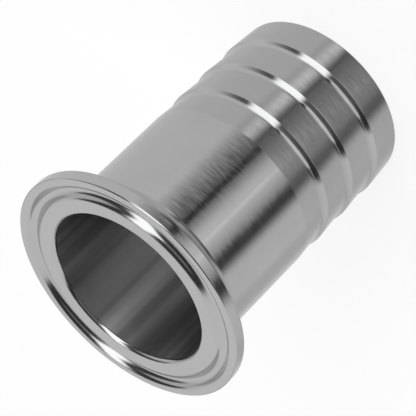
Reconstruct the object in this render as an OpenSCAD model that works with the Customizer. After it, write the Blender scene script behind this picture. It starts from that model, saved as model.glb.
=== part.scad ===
// Sanitary clamp hose barb: a clamp flange and a hose tail turned from one bar of stainless steel.
// The axis is Z. The hose end stands on z = 0 and the clamp face is at z = length. Millimetres.

/* [Tube] */
// Length over all, from the hose end to the clamp face
length = 60.5; // [50:0.5:120]
// Diameter of the through bore
bore_d = 34; // [20:0.5:60]
// Wall of the plain tube
wall_t = 1.85; // [1.5:0.05:4]
// Rounding of the bore's mouth in the clamp face
mouth_r = 0.8; // [0.2:0.1:1.5]
// Rounding of both edges of the hose end
end_edge_r = 0.25; // [0.1:0.05:0.5]

/* [Clamp flange] */
// Width of the flange, from the bore to the rim
flange_w = 8.25; // [7.5:0.25:12]
// Thickness of the rim
rim_t = 2.6; // [2:0.1:5]
// Angle of the clamp taper behind the rim, from the clamp face
taper_angle = 20; // [12:1:30]
// Rounding of the rim's front edge
rim_front_r = 0.25; // [0.1:0.05:0.7]
// Rounding of the rim's back edge
rim_back_r = 0.7; // [0.3:0.1:1.2]
// Run of the neck along the tube, past where the clamp taper would meet it
neck_run = 2.4; // [1:0.1:5]
// Angle at which the neck leaves the tube
neck_angle = 15; // [5:1:25]
// Rounding at the toe of the neck
neck_toe_r = 2; // [0.3:0.1:3]

/* [Gasket groove] */
// Land between the edge of the groove and the rim
groove_land = 1.15; // [0.9:0.05:1.5]
// Width of the groove, with its rounded lips
groove_w = 4.05; // [3.5:0.05:4.5]
// Depth of the groove
groove_depth = 0.95; // [0.5:0.05:1.2]
// Rounding of the groove's lips
groove_lip_r = 1.3; // [0.4:0.1:1.5]

/* [Hose tail] */
// Number of barbs
barbs = 3; // [1:1:5]
// Distance from one barb to the next
barb_pitch = 8.1; // [6:0.01:12]
// Length of the ramp from the hose end to the first crest
end_ramp_l = 6.92; // [3:0.01:10]
// Length of the steep back of each barb
barb_back_l = 1.05; // [0.9:0.05:2]
// Length of the ramp from the last barb's foot to the plain tube
lead_ramp_l = 5.95; // [3:0.05:10]
// Height of the crests above the tube
crest_rise = 0.1; // [0:0.05:1]
// Depth of the barbs' feet below the tube
foot_drop = 0.46; // [0.1:0.01:0.8]
// Depth of the hose end's edge below the tube
end_drop = 0.39; // [0.1:0.01:0.8]
// Rounding of the crests
crest_r = 0.2; // [0.1:0.1:1]
// Rounding in the barbs' feet
foot_r = 2; // [0.3:0.1:2.2]

/* [Hidden] */
$fn = 128;
// Turn of an arc from one point of it to the next
arc_turn = 7.5;

bore_r = bore_d / 2;
tube_r = bore_r + wall_t;
flange_r = bore_r + flange_w;
rim_back_z = length - rim_t;

// Where the clamp taper would meet the tube, and where the neck ends on it
taper_end_z = rim_back_z - (flange_r - tube_r) * tan(taper_angle);
neck_toe_z = taper_end_z - neck_run;
// The neck's line climbs from its toe to the clamp taper, and its large rounding takes up all of that line
neck_top_run = neck_run / (1 - tan(neck_angle) * tan(taper_angle));
neck_top_z = neck_toe_z + neck_top_run;
neck_top_r = tube_r + neck_top_run * tan(neck_angle);
neck_line_l = neck_top_run / cos(neck_angle) - neck_toe_r * tan(neck_angle / 2);
neck_r = neck_line_l / tan((90 - taper_angle - neck_angle) / 2);

// The groove's lips and its floor are arcs, and this slope leaves a short straight side between them
groove_slope = 2 * atan(2 * groove_depth / groove_w) - 1;
groove_mid_r = flange_r - groove_land - groove_w / 2;
// The lips' corners lie inside the groove's width, and its sides run on from them to a point below its floor
groove_corner = groove_w / 2 - groove_lip_r * tan(groove_slope / 2);
groove_point = groove_corner * tan(groove_slope);
groove_floor_r = (groove_point - groove_depth) / (1 / cos(groove_slope) - 1);

crest_radius = tube_r + crest_rise;
foot_radius = tube_r - foot_drop;
end_radius = tube_r - end_drop;
lead_z = end_ramp_l + (barbs - 1) * barb_pitch + barb_back_l + lead_ramp_l;

function unit(v) = v / norm(v);
function cross2(a, b) = a.x * b.y - a.y * b.x;

// Points of the arc that rounds the corner b between the points a and c. Each corner is [radius, z, rounding].
function rounded_corner(a, b, c) =
    let (
        to_a = unit([a.x - b.x, a.y - b.y]),
        to_c = unit([c.x - b.x, c.y - b.y]),
        half = acos(to_a * to_c) / 2,
        centre = [b.x, b.y] + unit(to_a + to_c) * b.z / sin(half),
        first = [b.x, b.y] + to_a * b.z / tan(half) - centre,
        side = sign(cross2(to_a, to_c)),
        turn = 180 - 2 * half,
        steps = max(1, ceil(turn / arc_turn))
    )
    b.z == 0
        ? [[b.x, b.y]]
        : [for (i = [0:steps])
            let (s = -side * turn * i / steps)
            centre + [first.x * cos(s) - first.y * sin(s), first.x * sin(s) + first.y * cos(s)]];

// A closed outline with every corner rounded
function rounded_outline(corners) =
    let (n = len(corners))
    [for (i = [0:n - 1])
        each rounded_corner(corners[(i + n - 1) % n], corners[i], corners[(i + 1) % n])];

// Corners from the hose end up to the plain tube
function tail_corners() = concat(
    [[end_radius, 0, end_edge_r]],
    [for (i = [0:barbs - 1])
        let (crest_z = end_ramp_l + i * barb_pitch)
        each [
            [crest_radius, crest_z, crest_r],
            [foot_radius, crest_z + barb_back_l, foot_r]
        ]],
    [[tube_r, lead_z, 0]]
);

// Corners from the plain tube over the neck and the clamp taper to the clamp face
function flange_corners() = [
    [tube_r, neck_toe_z, neck_toe_r],
    [neck_top_r, neck_top_z, neck_r],
    [flange_r, rim_back_z, rim_back_r],
    [flange_r, length, rim_front_r]
];

// Corners of the gasket groove, from the rim inward
function groove_corners() = [
    [groove_mid_r + groove_corner, length, groove_lip_r],
    [groove_mid_r, length - groove_point, groove_floor_r],
    [groove_mid_r - groove_corner, length, groove_lip_r]
];

// Corners of the bore, from the clamp face down to the hose end
function bore_corners() = [
    [bore_r, length, mouth_r],
    [bore_r, 0, end_edge_r]
];

module hose_barb() {
    color([0.72, 0.72, 0.73])
        rotate_extrude()
            polygon(rounded_outline(concat(
                tail_corners(),
                flange_corners(),
                groove_corners(),
                bore_corners()
            )));
}

hose_barb();
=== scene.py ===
"""Sanitary clamp hose barb: a turned stainless steel hose fitting, and the studio it stands in.

The fitting is one closed outline carried round the Z axis. It stands on its hose end, with the clamp
face up. All lengths are in metres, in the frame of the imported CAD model.
"""

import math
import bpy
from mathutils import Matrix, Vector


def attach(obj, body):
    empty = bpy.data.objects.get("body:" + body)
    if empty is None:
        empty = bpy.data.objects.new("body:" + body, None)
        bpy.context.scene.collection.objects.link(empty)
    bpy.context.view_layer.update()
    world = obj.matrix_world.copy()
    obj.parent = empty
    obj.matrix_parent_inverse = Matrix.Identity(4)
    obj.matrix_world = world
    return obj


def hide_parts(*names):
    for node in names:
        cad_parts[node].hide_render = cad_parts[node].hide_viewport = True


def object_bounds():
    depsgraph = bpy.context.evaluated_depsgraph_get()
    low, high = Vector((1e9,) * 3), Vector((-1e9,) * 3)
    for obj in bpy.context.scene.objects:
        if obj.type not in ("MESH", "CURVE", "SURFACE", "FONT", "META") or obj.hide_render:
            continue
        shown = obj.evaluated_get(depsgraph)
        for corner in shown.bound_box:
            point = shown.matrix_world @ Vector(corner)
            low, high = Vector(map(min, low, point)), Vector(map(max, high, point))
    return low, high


bl_info = {
    "name": "Sanitary clamp hose barb",
    "version": (1, 0, 0),
    "blender": (4, 5, 0),
    "location": "3D View > Sidebar > Hose Barb",
    "description": "Makes a stainless steel clamp flange with a barbed hose tail, and its studio",
    "category": "Add Mesh",
}

import bpy
import numpy as np
from mathutils import Quaternion, Vector

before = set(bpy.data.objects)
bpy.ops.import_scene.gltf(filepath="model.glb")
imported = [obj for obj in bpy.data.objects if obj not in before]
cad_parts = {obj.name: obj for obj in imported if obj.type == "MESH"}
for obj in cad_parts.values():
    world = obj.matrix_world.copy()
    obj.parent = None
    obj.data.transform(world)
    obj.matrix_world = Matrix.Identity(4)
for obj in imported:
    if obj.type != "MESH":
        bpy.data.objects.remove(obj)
CAD_LOW, CAD_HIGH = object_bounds()

MM = 0.001
NODE = "hose_barb"

# Finishes of the fitting, in the order of its material slots
BRUSHED, POLISHED, BORED = range(3)

# Nearly all values of a noise texture lie between these
NOISE_LOW, NOISE_HIGH = 0.3, 0.7
# Scales of the haze on the steel and of the painted reflection along the bore, stripes of painted light and
# shade that stand in for the studio mirrored there, and the noise at which a stripe begins and is full
HAZE_SCALE, PAINTED_REFLECTION_SCALE = 90.0, 2.0
PAINTED_REFLECTION_LOW, PAINTED_REFLECTION_HIGH = 0.4, 0.6
# The camera's sensor, in millimetres
SENSOR_WIDTH = 36.0
# Light that the open floor gets from the studio, where a white studio all round would give 1
OPEN_FLOOR_LIGHT = 0.6


def length_property(name, default, description):
    """A length that the user can change. Its default is in metres."""
    return bpy.props.FloatProperty(
        name=name, description=description, default=default, min=0.0, precision=5, unit="LENGTH"
    )


def angle_property(name, degrees, description):
    """An angle that the user can change. Its default is given in degrees and kept in radians."""
    return bpy.props.FloatProperty(
        name=name, description=description, default=math.radians(degrees), precision=3, unit="ROTATION"
    )


def share_property(name, default, description):
    """A plain number from 0 to 1 that the user can change."""
    return bpy.props.FloatProperty(name=name, description=description, default=default, min=0.0, max=1.0)


def level_property(name, default, description):
    """The brightness of a part of the studio, where 1 is white."""
    return bpy.props.FloatProperty(name=name, description=description, default=default, min=0.0, max=10.0)


class FittingSizes(bpy.types.PropertyGroup):
    """Sizes of the turned fitting, the same as in the CAD source"""

    length: length_property("Length", CAD_HIGH.z, "From the hose end to the clamp face")
    flange_radius: length_property("Flange radius", CAD_HIGH.x, "Radius of the clamp flange's rim")
    bore_radius: length_property("Bore radius", 17.0 * MM, "Radius of the through bore")
    wall: length_property("Wall", 1.85 * MM, "Wall of the plain tube")
    mouth_rounding: length_property("Mouth rounding", 0.8 * MM, "Rounding of the bore's mouth")
    end_rounding: length_property("End rounding", 0.25 * MM, "Rounding of both edges of the hose end")

    rim_thickness: length_property("Rim thickness", 2.6 * MM, "Thickness of the flange's rim")
    taper_angle: angle_property("Taper angle", 20.0, "Angle of the clamp taper behind the rim")
    rim_front_rounding: length_property("Rim front rounding", 0.25 * MM, "Rounding of the rim's front edge")
    rim_back_rounding: length_property("Rim back rounding", 0.7 * MM, "Rounding of the rim's back edge")
    neck_run: length_property("Neck run", 2.4 * MM, "Run of the neck past the taper's end")
    neck_angle: angle_property("Neck angle", 15.0, "Angle at which the neck leaves the tube")
    neck_toe_rounding: length_property("Neck toe rounding", 2.0 * MM, "Rounding at the toe of the neck")

    groove_land: length_property("Groove land", 1.15 * MM, "Land between the gasket groove and the rim")
    groove_width: length_property("Groove width", 4.05 * MM, "Width of the groove with its rounded lips")
    groove_depth: length_property("Groove depth", 0.95 * MM, "Depth of the gasket groove")
    groove_lip_rounding: length_property("Groove lip rounding", 1.3 * MM, "Rounding of the groove's lips")

    barbs: bpy.props.IntProperty(name="Barbs", description="Number of barbs on the tail", default=3, min=1)
    barb_pitch: length_property("Barb pitch", 8.10 * MM, "Distance from one barb to the next")
    end_ramp: length_property("End ramp", 6.92 * MM, "Ramp from the hose end to the first crest")
    barb_back: length_property("Barb back", 1.05 * MM, "Length of the steep back of each barb")
    lead_ramp: length_property("Lead ramp", 5.95 * MM, "Ramp from the last barb to the plain tube")
    crest_rise: length_property("Crest rise", 0.1 * MM, "Height of the crests above the tube")
    foot_drop: length_property("Foot drop", 0.46 * MM, "Depth of the barbs' feet below the tube")
    end_drop: length_property("End drop", 0.39 * MM, "Depth of the hose end's edge below the tube")
    crest_rounding: length_property("Crest rounding", 0.2 * MM, "Rounding of the crests")
    foot_rounding: length_property("Foot rounding", 2.0 * MM, "Rounding in the barbs' feet")
    lead_rounding: length_property("Lead rounding", 0.3 * MM, "Rounding at the end of the last ramp")

    segments: bpy.props.IntProperty(
        name="Segments", description="Steps of the surface round the axis", default=300, min=24
    )
    arc_turn: angle_property("Arc turn", 3.0, "Turn of a rounding from one step to the next")


class SteelLook(bpy.types.PropertyGroup):
    """Colour and finish of the stainless steel"""

    colour: bpy.props.FloatVectorProperty(
        name="Colour",
        description="Colour of the bare steel",
        subtype="COLOR",
        size=3,
        min=0.0,
        max=1.0,
        default=(0.56, 0.56, 0.565),
    )
    brushed_roughness: share_property("Brushed roughness", 0.17, "Roughness of the outside")
    polished_roughness: share_property("Polished roughness", 0.16, "Roughness of the clamp face and groove")
    bore_roughness: share_property("Bore roughness", 0.34, "Roughness of the bore")
    mark_width: length_property("Mark width", 0.16 * MM, "Width of the brush marks along the axis")
    mark_length: length_property("Mark length", 3.0 * MM, "Length of the brush marks round the axis")
    # Painted reflection in the bore: how far its painted stripes of light and shade change the steel's
    # colour, and where they lie
    bore_painted_reflection: share_property("Bore bands", 0.46, "How much the bands along the bore darken the steel")
    painted_reflection_pattern: bpy.props.FloatProperty(
        name="Band pattern", description="Chooses where the bands along the bore lie", default=85.1
    )


class StudioSettings(bpy.types.PropertyGroup):
    """The camera, the floor and the light"""

    camera_place: bpy.props.FloatVectorProperty(
        name="Camera place",
        description="Where the camera stands",
        subtype="TRANSLATION",
        unit="LENGTH",
        size=3,
        precision=5,
        default=(0.0, -399.80 * MM, 284.73 * MM),
    )
    camera_elevation: angle_property("Camera elevation", 31.938, "How far the camera looks down")
    camera_roll: angle_property("Camera roll", 134.767, "How far the camera is rolled to its right")
    camera_lens: bpy.props.FloatProperty(
        name="Camera lens",
        description="Focal length in millimetres, on a 36 mm sensor",
        default=216.3,
        min=10.0,
        subtype="DISTANCE_CAMERA",
    )
    floor_size: length_property("Floor size", 6.0, "Width of the square floor")
    floor_gap: length_property("Floor gap", 0.05 * MM, "How far the floor lies below the hose end")
    floor_shade: share_property("Floor shade", 0.35, "Share of the floor that a shadow can take away")
    wall_level: level_property("Wall level", 0.80, "Brightness of the studio's walls and ceiling")
    table_level: level_property("Table level", 0.73, "Brightness mirrored from below in front")
    table_far_level: level_property("Table far level", 0.72, "Brightness mirrored from below behind")


class NodeBench:
    """Adds nodes to one node tree and links them.

    Any input may be a number, a colour or another node's output.
    """

    def __init__(self, tree):
        self.tree = tree
        self.tree.nodes.clear()

    def add(self, kind, inputs=None, **settings):
        """Adds a node with these settings, and sets or links its inputs, which are named or numbered."""
        node = self.tree.nodes.new(kind)
        node.location = (180 * (len(self.tree.nodes) % 12), -220 * (len(self.tree.nodes) // 12))
        for name, value in settings.items():
            setattr(node, name, value)
        for key, value in (inputs or {}).items():
            if isinstance(value, bpy.types.NodeSocket):
                self.tree.links.new(value, node.inputs[key])
            else:
                node.inputs[key].default_value = value
        return node

    def math(self, operation, first, second=0.0, third=0.0):
        """A sum, product or other plain calculation."""
        return self.add("ShaderNodeMath", {0: first, 1: second, 2: third}, operation=operation).outputs[0]

    def vector(self, operation, first, second=(0.0, 0.0, 0.0), output=0, **inputs):
        """A calculation with vectors."""
        node = self.add("ShaderNodeVectorMath", {0: first, 1: second, **inputs}, operation=operation)
        return node.outputs[output]

    def rise(self, value, start, end, low=0.0, high=1.0):
        """Goes smoothly from low to high as the value goes from start to end."""
        inputs = {"Value": value, "From Min": start, "From Max": end, "To Min": low, "To Max": high}
        return self.add("ShaderNodeMapRange", inputs, interpolation_type="SMOOTHSTEP").outputs[0]

    def blend(self, share, first, second):
        """The first number where the share is 0, and the second where it is 1."""
        node = self.add("ShaderNodeMix", {0: share, 2: first, 3: second}, data_type="FLOAT")
        return node.outputs[0]


def corner_table(s):
    """The corners of the fitting's closed outline.

    Each row has radius, z, rounding, the finish of the rounding and the finish of the side that follows.

    The rows go up the outside, inward over the clamp face and down the bore, with the same formulas as the
    CAD. The clamp taper would meet the tube at the rim's back less the taper's height. The neck leaves the
    tube earlier by its run, and climbs at its own angle to the taper. The groove's lips and floor are arcs,
    and its slope leaves a short straight side between them: one degree less than twice the angle whose
    tangent is the depth over half the width.
    """
    tube = s.bore_radius + s.wall
    rim_back = s.length - s.rim_thickness
    taper_end = rim_back - (s.flange_radius - tube) * math.tan(s.taper_angle)
    neck_toe = taper_end - s.neck_run
    neck_top_run = s.neck_run / (1 - math.tan(s.neck_angle) * math.tan(s.taper_angle))
    neck_line = neck_top_run / math.cos(s.neck_angle) - s.neck_toe_rounding * math.tan(s.neck_angle / 2)
    neck_rounding = neck_line / math.tan((math.pi / 2 - s.taper_angle - s.neck_angle) / 2)

    groove_slope = 2 * math.atan(2 * s.groove_depth / s.groove_width) - math.radians(1)
    groove_middle = s.flange_radius - s.groove_land - s.groove_width / 2
    groove_corner = s.groove_width / 2 - s.groove_lip_rounding * math.tan(groove_slope / 2)
    groove_point = groove_corner * math.tan(groove_slope)
    groove_floor_rounding = (groove_point - s.groove_depth) / (1 / math.cos(groove_slope) - 1)

    crest_z = s.end_ramp + s.barb_pitch * np.arange(s.barbs)
    crests = np.column_stack(
        [np.full(s.barbs, tube + s.crest_rise), crest_z, np.full(s.barbs, s.crest_rounding)]
    )
    feet = np.column_stack(
        [np.full(s.barbs, tube - s.foot_drop), crest_z + s.barb_back, np.full(s.barbs, s.foot_rounding)]
    )
    barbs = np.stack([crests, feet], axis=1).reshape(-1, 3)
    lead_z = crest_z[-1] + s.barb_back + s.lead_ramp

    outside = np.vstack(
        [
            [tube - s.end_drop, 0.0, s.end_rounding],
            barbs,
            [tube, lead_z, s.lead_rounding],
            [tube, neck_toe, s.neck_toe_rounding],
            [tube + neck_top_run * math.tan(s.neck_angle), neck_toe + neck_top_run, neck_rounding],
            [s.flange_radius, rim_back, s.rim_back_rounding],
        ]
    )
    face = np.array(
        [
            [s.flange_radius, s.length, s.rim_front_rounding],
            [groove_middle + groove_corner, s.length, s.groove_lip_rounding],
            [groove_middle, s.length - groove_point, groove_floor_rounding],
            [groove_middle - groove_corner, s.length, s.groove_lip_rounding],
            [s.bore_radius, s.length, s.mouth_rounding],
        ]
    )
    bore = np.array([[s.bore_radius, 0.0, s.end_rounding]])
    of_rounding = np.repeat([BRUSHED, POLISHED, BORED], [len(outside), len(face), 1])
    of_side = np.repeat([BRUSHED, POLISHED, BORED, BRUSHED], [len(outside), len(face) - 1, 1, 1])
    return np.column_stack([np.vstack([outside, face, bore]), of_rounding, of_side])


def rounded_outline(corners, arc_turn):
    """Rounds every corner of a closed outline, and returns its points, outward normals and finishes.

    At each corner the way turns by the angle between the side before it and the side after it. The arc
    that rounds it starts before the corner by the rounding times the tangent of half that turn. On the
    arc, the way has turned by a share of the angle, the normal is the way turned a quarter to the right,
    and the point is the arc's centre plus or minus the normal times the rounding.
    """
    points = corners[:, :2]
    way_in = points - np.roll(points, 1, axis=0)
    heading = np.arctan2(way_in[:, 1], way_in[:, 0])
    turn = (np.roll(heading, -1) - heading + math.pi) % (2 * math.pi) - math.pi
    steps = np.maximum(1, np.ceil(np.abs(turn) / arc_turn)).astype(int)

    corner = np.repeat(np.arange(len(corners)), steps + 1)
    first = np.repeat(np.cumsum(steps + 1) - steps - 1, steps + 1)
    share = (np.arange(len(corner)) - first) / steps[corner]
    rounding = corners[corner, 2] * np.sign(turn[corner])

    start_way = np.column_stack([np.cos(heading), np.sin(heading)])[corner]
    start_normal = np.column_stack([start_way[:, 1], -start_way[:, 0]])
    start = points[corner] - start_way * (np.abs(rounding) * np.tan(np.abs(turn[corner]) / 2))[:, None]
    centre = start - start_normal * rounding[:, None]

    way = heading[corner] + turn[corner] * share
    normal = np.column_stack([np.sin(way), -np.cos(way)])
    finish = np.where(share < 1, corners[corner, 3], corners[corner, 4]).astype(int)
    return centre + normal * rounding[:, None], normal, finish


def revolved_mesh(name, outline, normals, finishes, segments):
    """Carries a closed outline round Z into a closed skin.

    Point i of the outline at step j is (r cos a, r sin a, z), where a is j whole turns over the segments,
    and its normal is turned by the same angle. Each face joins steps j and j + 1 of points i and i + 1,
    both counted round, so that the seam is closed, and takes the finish of point i.
    """
    angle = np.arange(segments) * (2 * math.pi / segments)
    ring = np.column_stack([np.cos(angle), np.sin(angle)])

    def carried(profile):
        across = profile[:, None, :1] * ring[None]
        along = np.broadcast_to(profile[:, None, 1:], across.shape[:2] + (1,))
        return np.concatenate([across, along], axis=2).reshape(-1, 3)

    count = len(outline)
    i, j = np.meshgrid(np.arange(count), np.arange(segments), indexing="ij")
    next_i, next_j = (i + 1) % count, (j + 1) % segments
    rings = [i * segments + j, i * segments + next_j, next_i * segments + next_j, next_i * segments + j]
    quads = np.stack(rings, axis=-1).reshape(-1, 4)

    mesh = bpy.data.meshes.new(name)
    points = carried(outline)
    mesh.vertices.add(len(points))
    mesh.vertices.foreach_set("co", points.astype(np.float32).ravel())
    mesh.loops.add(quads.size)
    mesh.loops.foreach_set("vertex_index", quads.astype(np.int32).ravel())
    mesh.polygons.add(len(quads))
    mesh.polygons.foreach_set("loop_start", np.arange(0, quads.size, 4, dtype=np.int32))
    mesh.polygons.foreach_set("material_index", np.repeat(finishes, segments).astype(np.int32))
    mesh.update(calc_edges=True)
    mesh.validate()
    mesh.polygons.foreach_set("use_smooth", np.ones(len(quads), dtype=bool))
    mesh.normals_split_custom_set_from_vertices(carried(normals).tolist())
    return mesh


def steel_material(name, look, roughness, *, anisotropy, marks, spread, haze, painted_reflection_bands=0.0):
    """Stainless steel with fine marks that run round the axis and, in the bore, a painted reflection: soft
    stripes of painted light and shade along it.

    The marks are noise that changes slowly round the axis and fast along the outline: its point is x and y
    over the marks' length and z over their width, and its fourth coordinate is the radius over their width,
    so that the flat face is marked too. They tilt the normal along the outline, by marks at most, and
    change the roughness by spread, a share of it. A wide soft noise darkens the colour by haze at most.
    The painted reflection is noise over the direction from the axis alone, fixed in the colour in place of
    the studio mirrored in the bore. It darkens the colour at most by the share given for it, as painted
    shade, and lightens it by half of that at most, as painted light.
    """
    material = bpy.data.materials.new(name)
    material.use_nodes = True
    bench = NodeBench(material.node_tree)
    place = bench.add("ShaderNodeTexCoord").outputs["Object"]
    radius = bench.vector("LENGTH", bench.vector("MULTIPLY", place, (1.0, 1.0, 0.0)), output="Value")
    long_scale, wide_scale = 1 / look.mark_length, 1 / look.mark_width
    stretched = bench.vector("MULTIPLY", place, (long_scale, long_scale, wide_scale))
    across = bench.math("MULTIPLY", radius, wide_scale)
    streaks = bench.add(
        "ShaderNodeTexNoise",
        {"Vector": stretched, "W": across, "Scale": 1.0, "Detail": 3.0, "Roughness": 0.6},
        noise_dimensions="4D",
    ).outputs["Fac"]
    cloud = bench.add(
        "ShaderNodeTexNoise", {"Vector": place, "Scale": HAZE_SCALE, "Detail": 2.0}
    ).outputs["Fac"]

    tangent = bench.add("ShaderNodeTangent", direction_type="RADIAL", axis="Z").outputs[0]
    normal = bench.add("ShaderNodeNewGeometry").outputs["Normal"]
    along = bench.vector("CROSS_PRODUCT", normal, tangent)
    tilt = bench.rise(streaks, NOISE_LOW, NOISE_HIGH, -marks, marks)
    tilted = bench.add("ShaderNodeVectorMath", {0: along, "Scale": tilt}, operation="SCALE").outputs[0]
    brushed = bench.vector("NORMALIZE", bench.vector("ADD", normal, tilted))

    uneven = bench.rise(cloud, NOISE_LOW, NOISE_HIGH, 1 - haze, 1.0)
    # Painted reflection: stripes of painted light and shade in the bore's colour, in place of the studio
    # mirrored there
    if painted_reflection_bands:
        way_out = bench.vector("NORMALIZE", bench.vector("MULTIPLY", place, (1.0, 1.0, 0.0)))
        painted_reflection_noise = bench.add(
            "ShaderNodeTexNoise",
            {
                "Vector": way_out,
                "W": look.painted_reflection_pattern,
                "Scale": PAINTED_REFLECTION_SCALE,
                "Detail": 3.0,
                "Roughness": 0.6,
            },
            noise_dimensions="4D",
        ).outputs["Fac"]
        painted_reflection_shade = bench.rise(painted_reflection_noise, PAINTED_REFLECTION_LOW, PAINTED_REFLECTION_HIGH, 1 - painted_reflection_bands, 1 + painted_reflection_bands / 2)
        uneven = bench.math("MULTIPLY", uneven, painted_reflection_shade)
    shade = bench.add(
        "ShaderNodeVectorMath", {0: tuple(look.colour), "Scale": uneven}, operation="SCALE"
    ).outputs[0]
    rough = bench.rise(
        streaks, NOISE_LOW, NOISE_HIGH, roughness * (1 - spread), roughness * (1 + spread)
    )
    shader = bench.add(
        "ShaderNodeBsdfPrincipled",
        {
            "Base Color": shade,
            "Metallic": 1.0,
            "Roughness": rough,
            "Anisotropic": anisotropy,
            "Anisotropic Rotation": 0.25,
            "Normal": brushed,
            "Tangent": tangent,
        },
    )
    bench.add("ShaderNodeOutputMaterial", {"Surface": shader.outputs[0]})
    return material


def make_fitting(sizes, look):
    """Turns the fitting and gives it its three finishes."""
    outline, normals, finishes = rounded_outline(corner_table(sizes), sizes.arc_turn)
    mesh = revolved_mesh("turned_fitting", outline, normals, finishes, sizes.segments)
    brushed = steel_material(
        "brushed_outside",
        look,
        look.brushed_roughness,
        anisotropy=0.85,
        marks=0.015,
        spread=0.28,
        haze=0.04,
    )
    polished = steel_material(
        "polished_clamp_face",
        look,
        look.polished_roughness,
        anisotropy=0.6,
        marks=0.003,
        spread=0.06,
        haze=0.02,
    )
    bored = steel_material(
        "turned_bore",
        look,
        look.bore_roughness,
        anisotropy=0.9,
        marks=0.01,
        spread=0.12,
        haze=0.05,
        # Painted light and shade along the bore, standing in for its reflection
        painted_reflection_bands=look.bore_painted_reflection,
    )
    for material in (brushed, polished, bored):
        mesh.materials.append(material)
    fitting = bpy.data.objects.new("turned_fitting", mesh)
    bpy.context.scene.collection.objects.link(fitting)
    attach(fitting, "root")
    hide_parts(NODE)
    return fitting


def make_floor(studio):
    """A plain pale floor that shows white where nothing shades it, and keeps the fitting's soft shadow.

    The camera sees a diffuse part, which a shadow takes away, and an even part, which it leaves. The steel
    doesn't mirror the floor, but the studio round it.
    """
    half, low = studio.floor_size / 2, -studio.floor_gap
    corners = [(-half, -half, low), (half, -half, low), (half, half, low), (-half, half, low)]
    mesh = bpy.data.meshes.new("floor")
    mesh.from_pydata(corners, [], [(0, 1, 2, 3)])
    floor = bpy.data.objects.new("floor", mesh)
    bpy.context.scene.collection.objects.link(floor)
    floor.visible_glossy = False

    material = bpy.data.materials.new("pale_floor")
    material.use_nodes = True
    bench = NodeBench(material.node_tree)
    pale = (studio.floor_shade, studio.floor_shade, studio.floor_shade, 1.0)
    diffuse = bench.add("ShaderNodeBsdfDiffuse", {"Color": pale}).outputs[0]
    seen = bench.add("ShaderNodeLightPath").outputs["Is Camera Ray"]
    even = bench.math("MULTIPLY", seen, 1.0 - OPEN_FLOOR_LIGHT * studio.floor_shade)
    glow = bench.add("ShaderNodeEmission", {"Strength": even}).outputs[0]
    both = bench.add("ShaderNodeAddShader", {0: diffuse, 1: glow}).outputs[0]
    bench.add("ShaderNodeOutputMaterial", {"Surface": both})
    mesh.materials.append(material)
    return floor


# Parts of the studio round the fitting, each with its level and where it lies, in degrees: first its side
# angles, counted from the camera's side towards -X, and then its height angles, counted from the horizon.
# The four angles say where the part begins, from where to where it is whole, and where it ends.
# Later parts cover earlier ones.
STUDIO_PARTS = [
    ("dim side wall", 0.62, (-170, -120, -100, -80), (12, 20, 50, 70)),
    ("dim far corner towards +X", 0.40, (-172, -160, -130, -116), (-6, 0, 12, 26)),
    ("dim far corner towards -X", 0.40, (116, 130, 160, 172), (-6, 0, 12, 26)),
    ("dark room behind the camera", 0.10, (-104, -58, 62, 74), (-4, 6, 52, 70)),
    ("unlit corner", 0.03, (30, 46, 60, 67), (-10, -4, 70, 85)),
    ("paler part of the dark room", 0.25, (-8, 2, 30, 48), (28, 42, 64, 78)),
    ("key softbox", 1.7, (-53, -43, -15, -7), (-22, -14, 180, 181)),
    ("dark below the softbox", 0.07, (-54, -20, 30, 50), (-80, -70, -26, -20)),
    ("low unlit corner", 0.04, (30, 50, 58, 76), (-80, -70, -14, -10)),
    ("low reflector", 0.85, (-6, 19, 24, 52), (-80, -70, -14, -10)),
    ("bright seam of the low reflector", 1.05, (21, 24, 25, 28), (-40, -38, -20, -16)),
    ("light strip", 0.95, (-6, 0, 44, 50), (-28, -20, -2, 5)),
    ("dim table side towards +X", 0.60, (-165, -152, -142, -128), (-80, -70, -38, -31)),
    ("dim table side towards -X", 0.58, (105, 124, 138, 156), (-80, -70, -20, -10)),
    ("table near the camera", 0.34, (-18, 0, 30, 80), (-91, -90, -42, -34)),
    ("dark edge of the table", 0.0, (-18, -8, 48, 62), (-64, -60, -49, -46)),
    ("pale front of the table", 0.44, (-30, -14, 60, 80), (-91, -90, -66, -62)),
    ("pale card on the table", 1.05, (-46, -32, -30, -13), (-58, -46, -43, -37)),
    ("dusk beside the card", 0.25, (-15, -10, 0, 6), (-58, -50, -44, -38)),
    ("gap beside the camera", 0.0, (-12, -9, -4.5, -1.5), (-39, -35, -14, -6)),
]

# Cards on the ceiling, which go on past the zenith, each with its level and its edges in x over z and in
# y over z
CEILING_CARDS = [
    ("dark ceiling", 0.045, (-1.6, -1.4, 0.85, 1.15), (-0.7, -0.4, 0.85, 1.05)),
]

# Strips across the ceiling that run together at the place where x over z is FAN_X and y over z is FAN_Y.
# Each has its level, its edges across the fan of strips and its edges in y over z. The coordinate across
# the fan is x less FAN_X times z, over FAN_Y times z less y.
FAN_X, FAN_Y = 0.09, 0.82
CEILING_STRIPS = [
    ("light ceiling towards -X", 0.80, (-9000.0, -8000.0, -0.92, -0.68), (-0.7, -0.3, 2.0, 2.2)),
    ("softbox over the fitting", 1.8, (0.05, 0.13, 0.36, 0.52), (-0.9, -0.6, 0.76, 0.84)),
]

# The table goes from its near level to its far level between these values of y
TABLE_DEPTH = (-0.3, 1.0)
# Steeply below, the table's level is only this share of what it is farther out, with the change between
# these heights
TABLE_STEEP_SHARE = 0.8
TABLE_STEEP = (-46.0, -30.0)
# The table gives way to the walls between these heights, and the ceiling starts between these values of z
HORIZON = (-15.0, 15.0)
CEILING_START = (0.2, 0.3)
# Least divisor, so that nothing is divided by zero
LEAST_DIVISOR = 0.001


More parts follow.
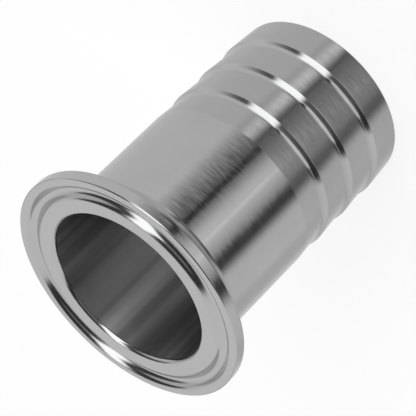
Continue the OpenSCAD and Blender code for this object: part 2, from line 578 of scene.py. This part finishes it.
def studio_light(studio):
    """Lights the studio by direction.

    The walls and the table are even and light. Each part of the studio is a patch of directions whose level
    replaces what lies behind it, with smooth edges. The camera sees plain white.
    """
    world = bpy.data.worlds.new("studio")
    world.use_nodes = True
    bpy.context.scene.world = world
    bench = NodeBench(world.node_tree)
    way = bench.add("ShaderNodeTexCoord").outputs["Generated"]
    x, y, z = bench.add("ShaderNodeSeparateXYZ", {0: way}).outputs
    minus_x = bench.math("MULTIPLY", x, -1.0)
    minus_y = bench.math("MULTIPLY", y, -1.0)
    side = bench.math("DEGREES", bench.math("ARCTAN2", minus_x, minus_y))
    height = bench.math("DEGREES", bench.math("ARCSINE", z))

    def inside(value, edges):
        enters = bench.rise(value, edges[0], edges[1])
        leaves = bench.rise(value, edges[2], edges[3], 1.0, 0.0)
        return bench.math("MULTIPLY", enters, leaves)

    def cover(level, parts, across, along, where=1.0):
        for _, brightness, across_edges, along_edges in parts:
            patch = bench.math("MULTIPLY", inside(across, across_edges), inside(along, along_edges))
            level = bench.blend(bench.math("MULTIPLY", patch, where), level, brightness)
        return level

    table = bench.rise(y, *TABLE_DEPTH, studio.table_level, studio.table_far_level)
    table = bench.math("MULTIPLY", table, bench.rise(height, *TABLE_STEEP, TABLE_STEEP_SHARE, 1.0))
    level = bench.blend(bench.rise(height, *HORIZON), table, studio.wall_level)
    level = cover(level, STUDIO_PARTS, side, height)

    up = bench.math("MAXIMUM", z, LEAST_DIVISOR)
    x_over_z, y_over_z = bench.math("DIVIDE", x, up), bench.math("DIVIDE", y, up)
    fan_x = bench.math("MULTIPLY_ADD", z, -FAN_X, x)
    fan_y = bench.math("MAXIMUM", bench.math("MULTIPLY_ADD", z, FAN_Y, minus_y), LEAST_DIVISOR)
    fan = bench.math("DIVIDE", fan_x, fan_y)
    overhead = bench.rise(z, *CEILING_START)
    level = cover(level, CEILING_CARDS, x_over_z, y_over_z, overhead)
    level = cover(level, CEILING_STRIPS, fan, y_over_z, overhead)

    seen = bench.add("ShaderNodeLightPath").outputs["Is Camera Ray"]
    strength = bench.blend(seen, level, 1.0)
    background = bench.add("ShaderNodeBackground", {"Color": (1.0, 1.0, 1.0, 1.0), "Strength": strength})
    bench.add("ShaderNodeOutputWorld", {"Surface": background.outputs[0]})
    return world


def make_camera(studio):
    """A camera that looks down by its elevation and is then rolled to its right."""
    data = bpy.data.cameras.new("camera")
    data.sensor_width = SENSOR_WIDTH
    data.lens = studio.camera_lens
    data.clip_start = 0.01
    data.clip_end = 20.0
    camera = bpy.data.objects.new("camera", data)
    bpy.context.scene.collection.objects.link(camera)
    ahead = Vector((0.0, math.cos(studio.camera_elevation), -math.sin(studio.camera_elevation)))
    roll = Quaternion((0.0, 0.0, 1.0), -studio.camera_roll)
    camera.location = studio.camera_place
    camera.rotation_mode = "QUATERNION"
    camera.rotation_quaternion = ahead.to_track_quat("-Z", "Y") @ roll
    bpy.context.scene.camera = camera
    return camera


class HOSEBARB_OT_turn_fitting(bpy.types.Operator):
    """Make the turned fitting from its sizes and give it its finishes"""

    bl_idname = "hosebarb.turn_fitting"
    bl_label = "Turn the fitting"
    bl_options = {"REGISTER", "UNDO"}

    def execute(self, context):
        make_fitting(context.scene.hosebarb_sizes, context.scene.hosebarb_look)
        return {"FINISHED"}


class HOSEBARB_OT_set_stage(bpy.types.Operator):
    """Set up the floor, the studio light and the camera"""

    bl_idname = "hosebarb.set_stage"
    bl_label = "Set the stage"
    bl_options = {"REGISTER", "UNDO"}

    def execute(self, context):
        studio = context.scene.hosebarb_studio
        make_floor(studio)
        studio_light(studio)
        make_camera(studio)
        context.scene.view_settings.view_transform = "Standard"
        return {"FINISHED"}


class HOSEBARB_PT_panel(bpy.types.Panel):
    """Sidebar panel with the sizes, the looks and the buttons that use them"""

    bl_idname = "HOSEBARB_PT_panel"
    bl_label = "Hose Barb"
    bl_space_type = "VIEW_3D"
    bl_region_type = "UI"
    bl_category = "Hose Barb"

    def draw(self, context):
        scene = context.scene
        for settings, operator in (
            (scene.hosebarb_sizes, None),
            (scene.hosebarb_look, HOSEBARB_OT_turn_fitting),
            (scene.hosebarb_studio, HOSEBARB_OT_set_stage),
        ):
            column = self.layout.column(align=True)
            for name in settings.__annotations__:
                column.prop(settings, name)
            if operator:
                self.layout.operator(operator.bl_idname)


CLASSES = (
    FittingSizes,
    SteelLook,
    StudioSettings,
    HOSEBARB_OT_turn_fitting,
    HOSEBARB_OT_set_stage,
    HOSEBARB_PT_panel,
)


def register():
    for cls in CLASSES:
        bpy.utils.register_class(cls)
    bpy.types.Scene.hosebarb_sizes = bpy.props.PointerProperty(type=FittingSizes)
    bpy.types.Scene.hosebarb_look = bpy.props.PointerProperty(type=SteelLook)
    bpy.types.Scene.hosebarb_studio = bpy.props.PointerProperty(type=StudioSettings)


def unregister():
    del bpy.types.Scene.hosebarb_studio
    del bpy.types.Scene.hosebarb_look
    del bpy.types.Scene.hosebarb_sizes
    for cls in reversed(CLASSES):
        bpy.utils.unregister_class(cls)


def main():
    """Makes the fitting and its stage."""
    register()
    bpy.ops.hosebarb.turn_fitting()
    bpy.ops.hosebarb.set_stage()


if __name__ == "__main__":
    main()
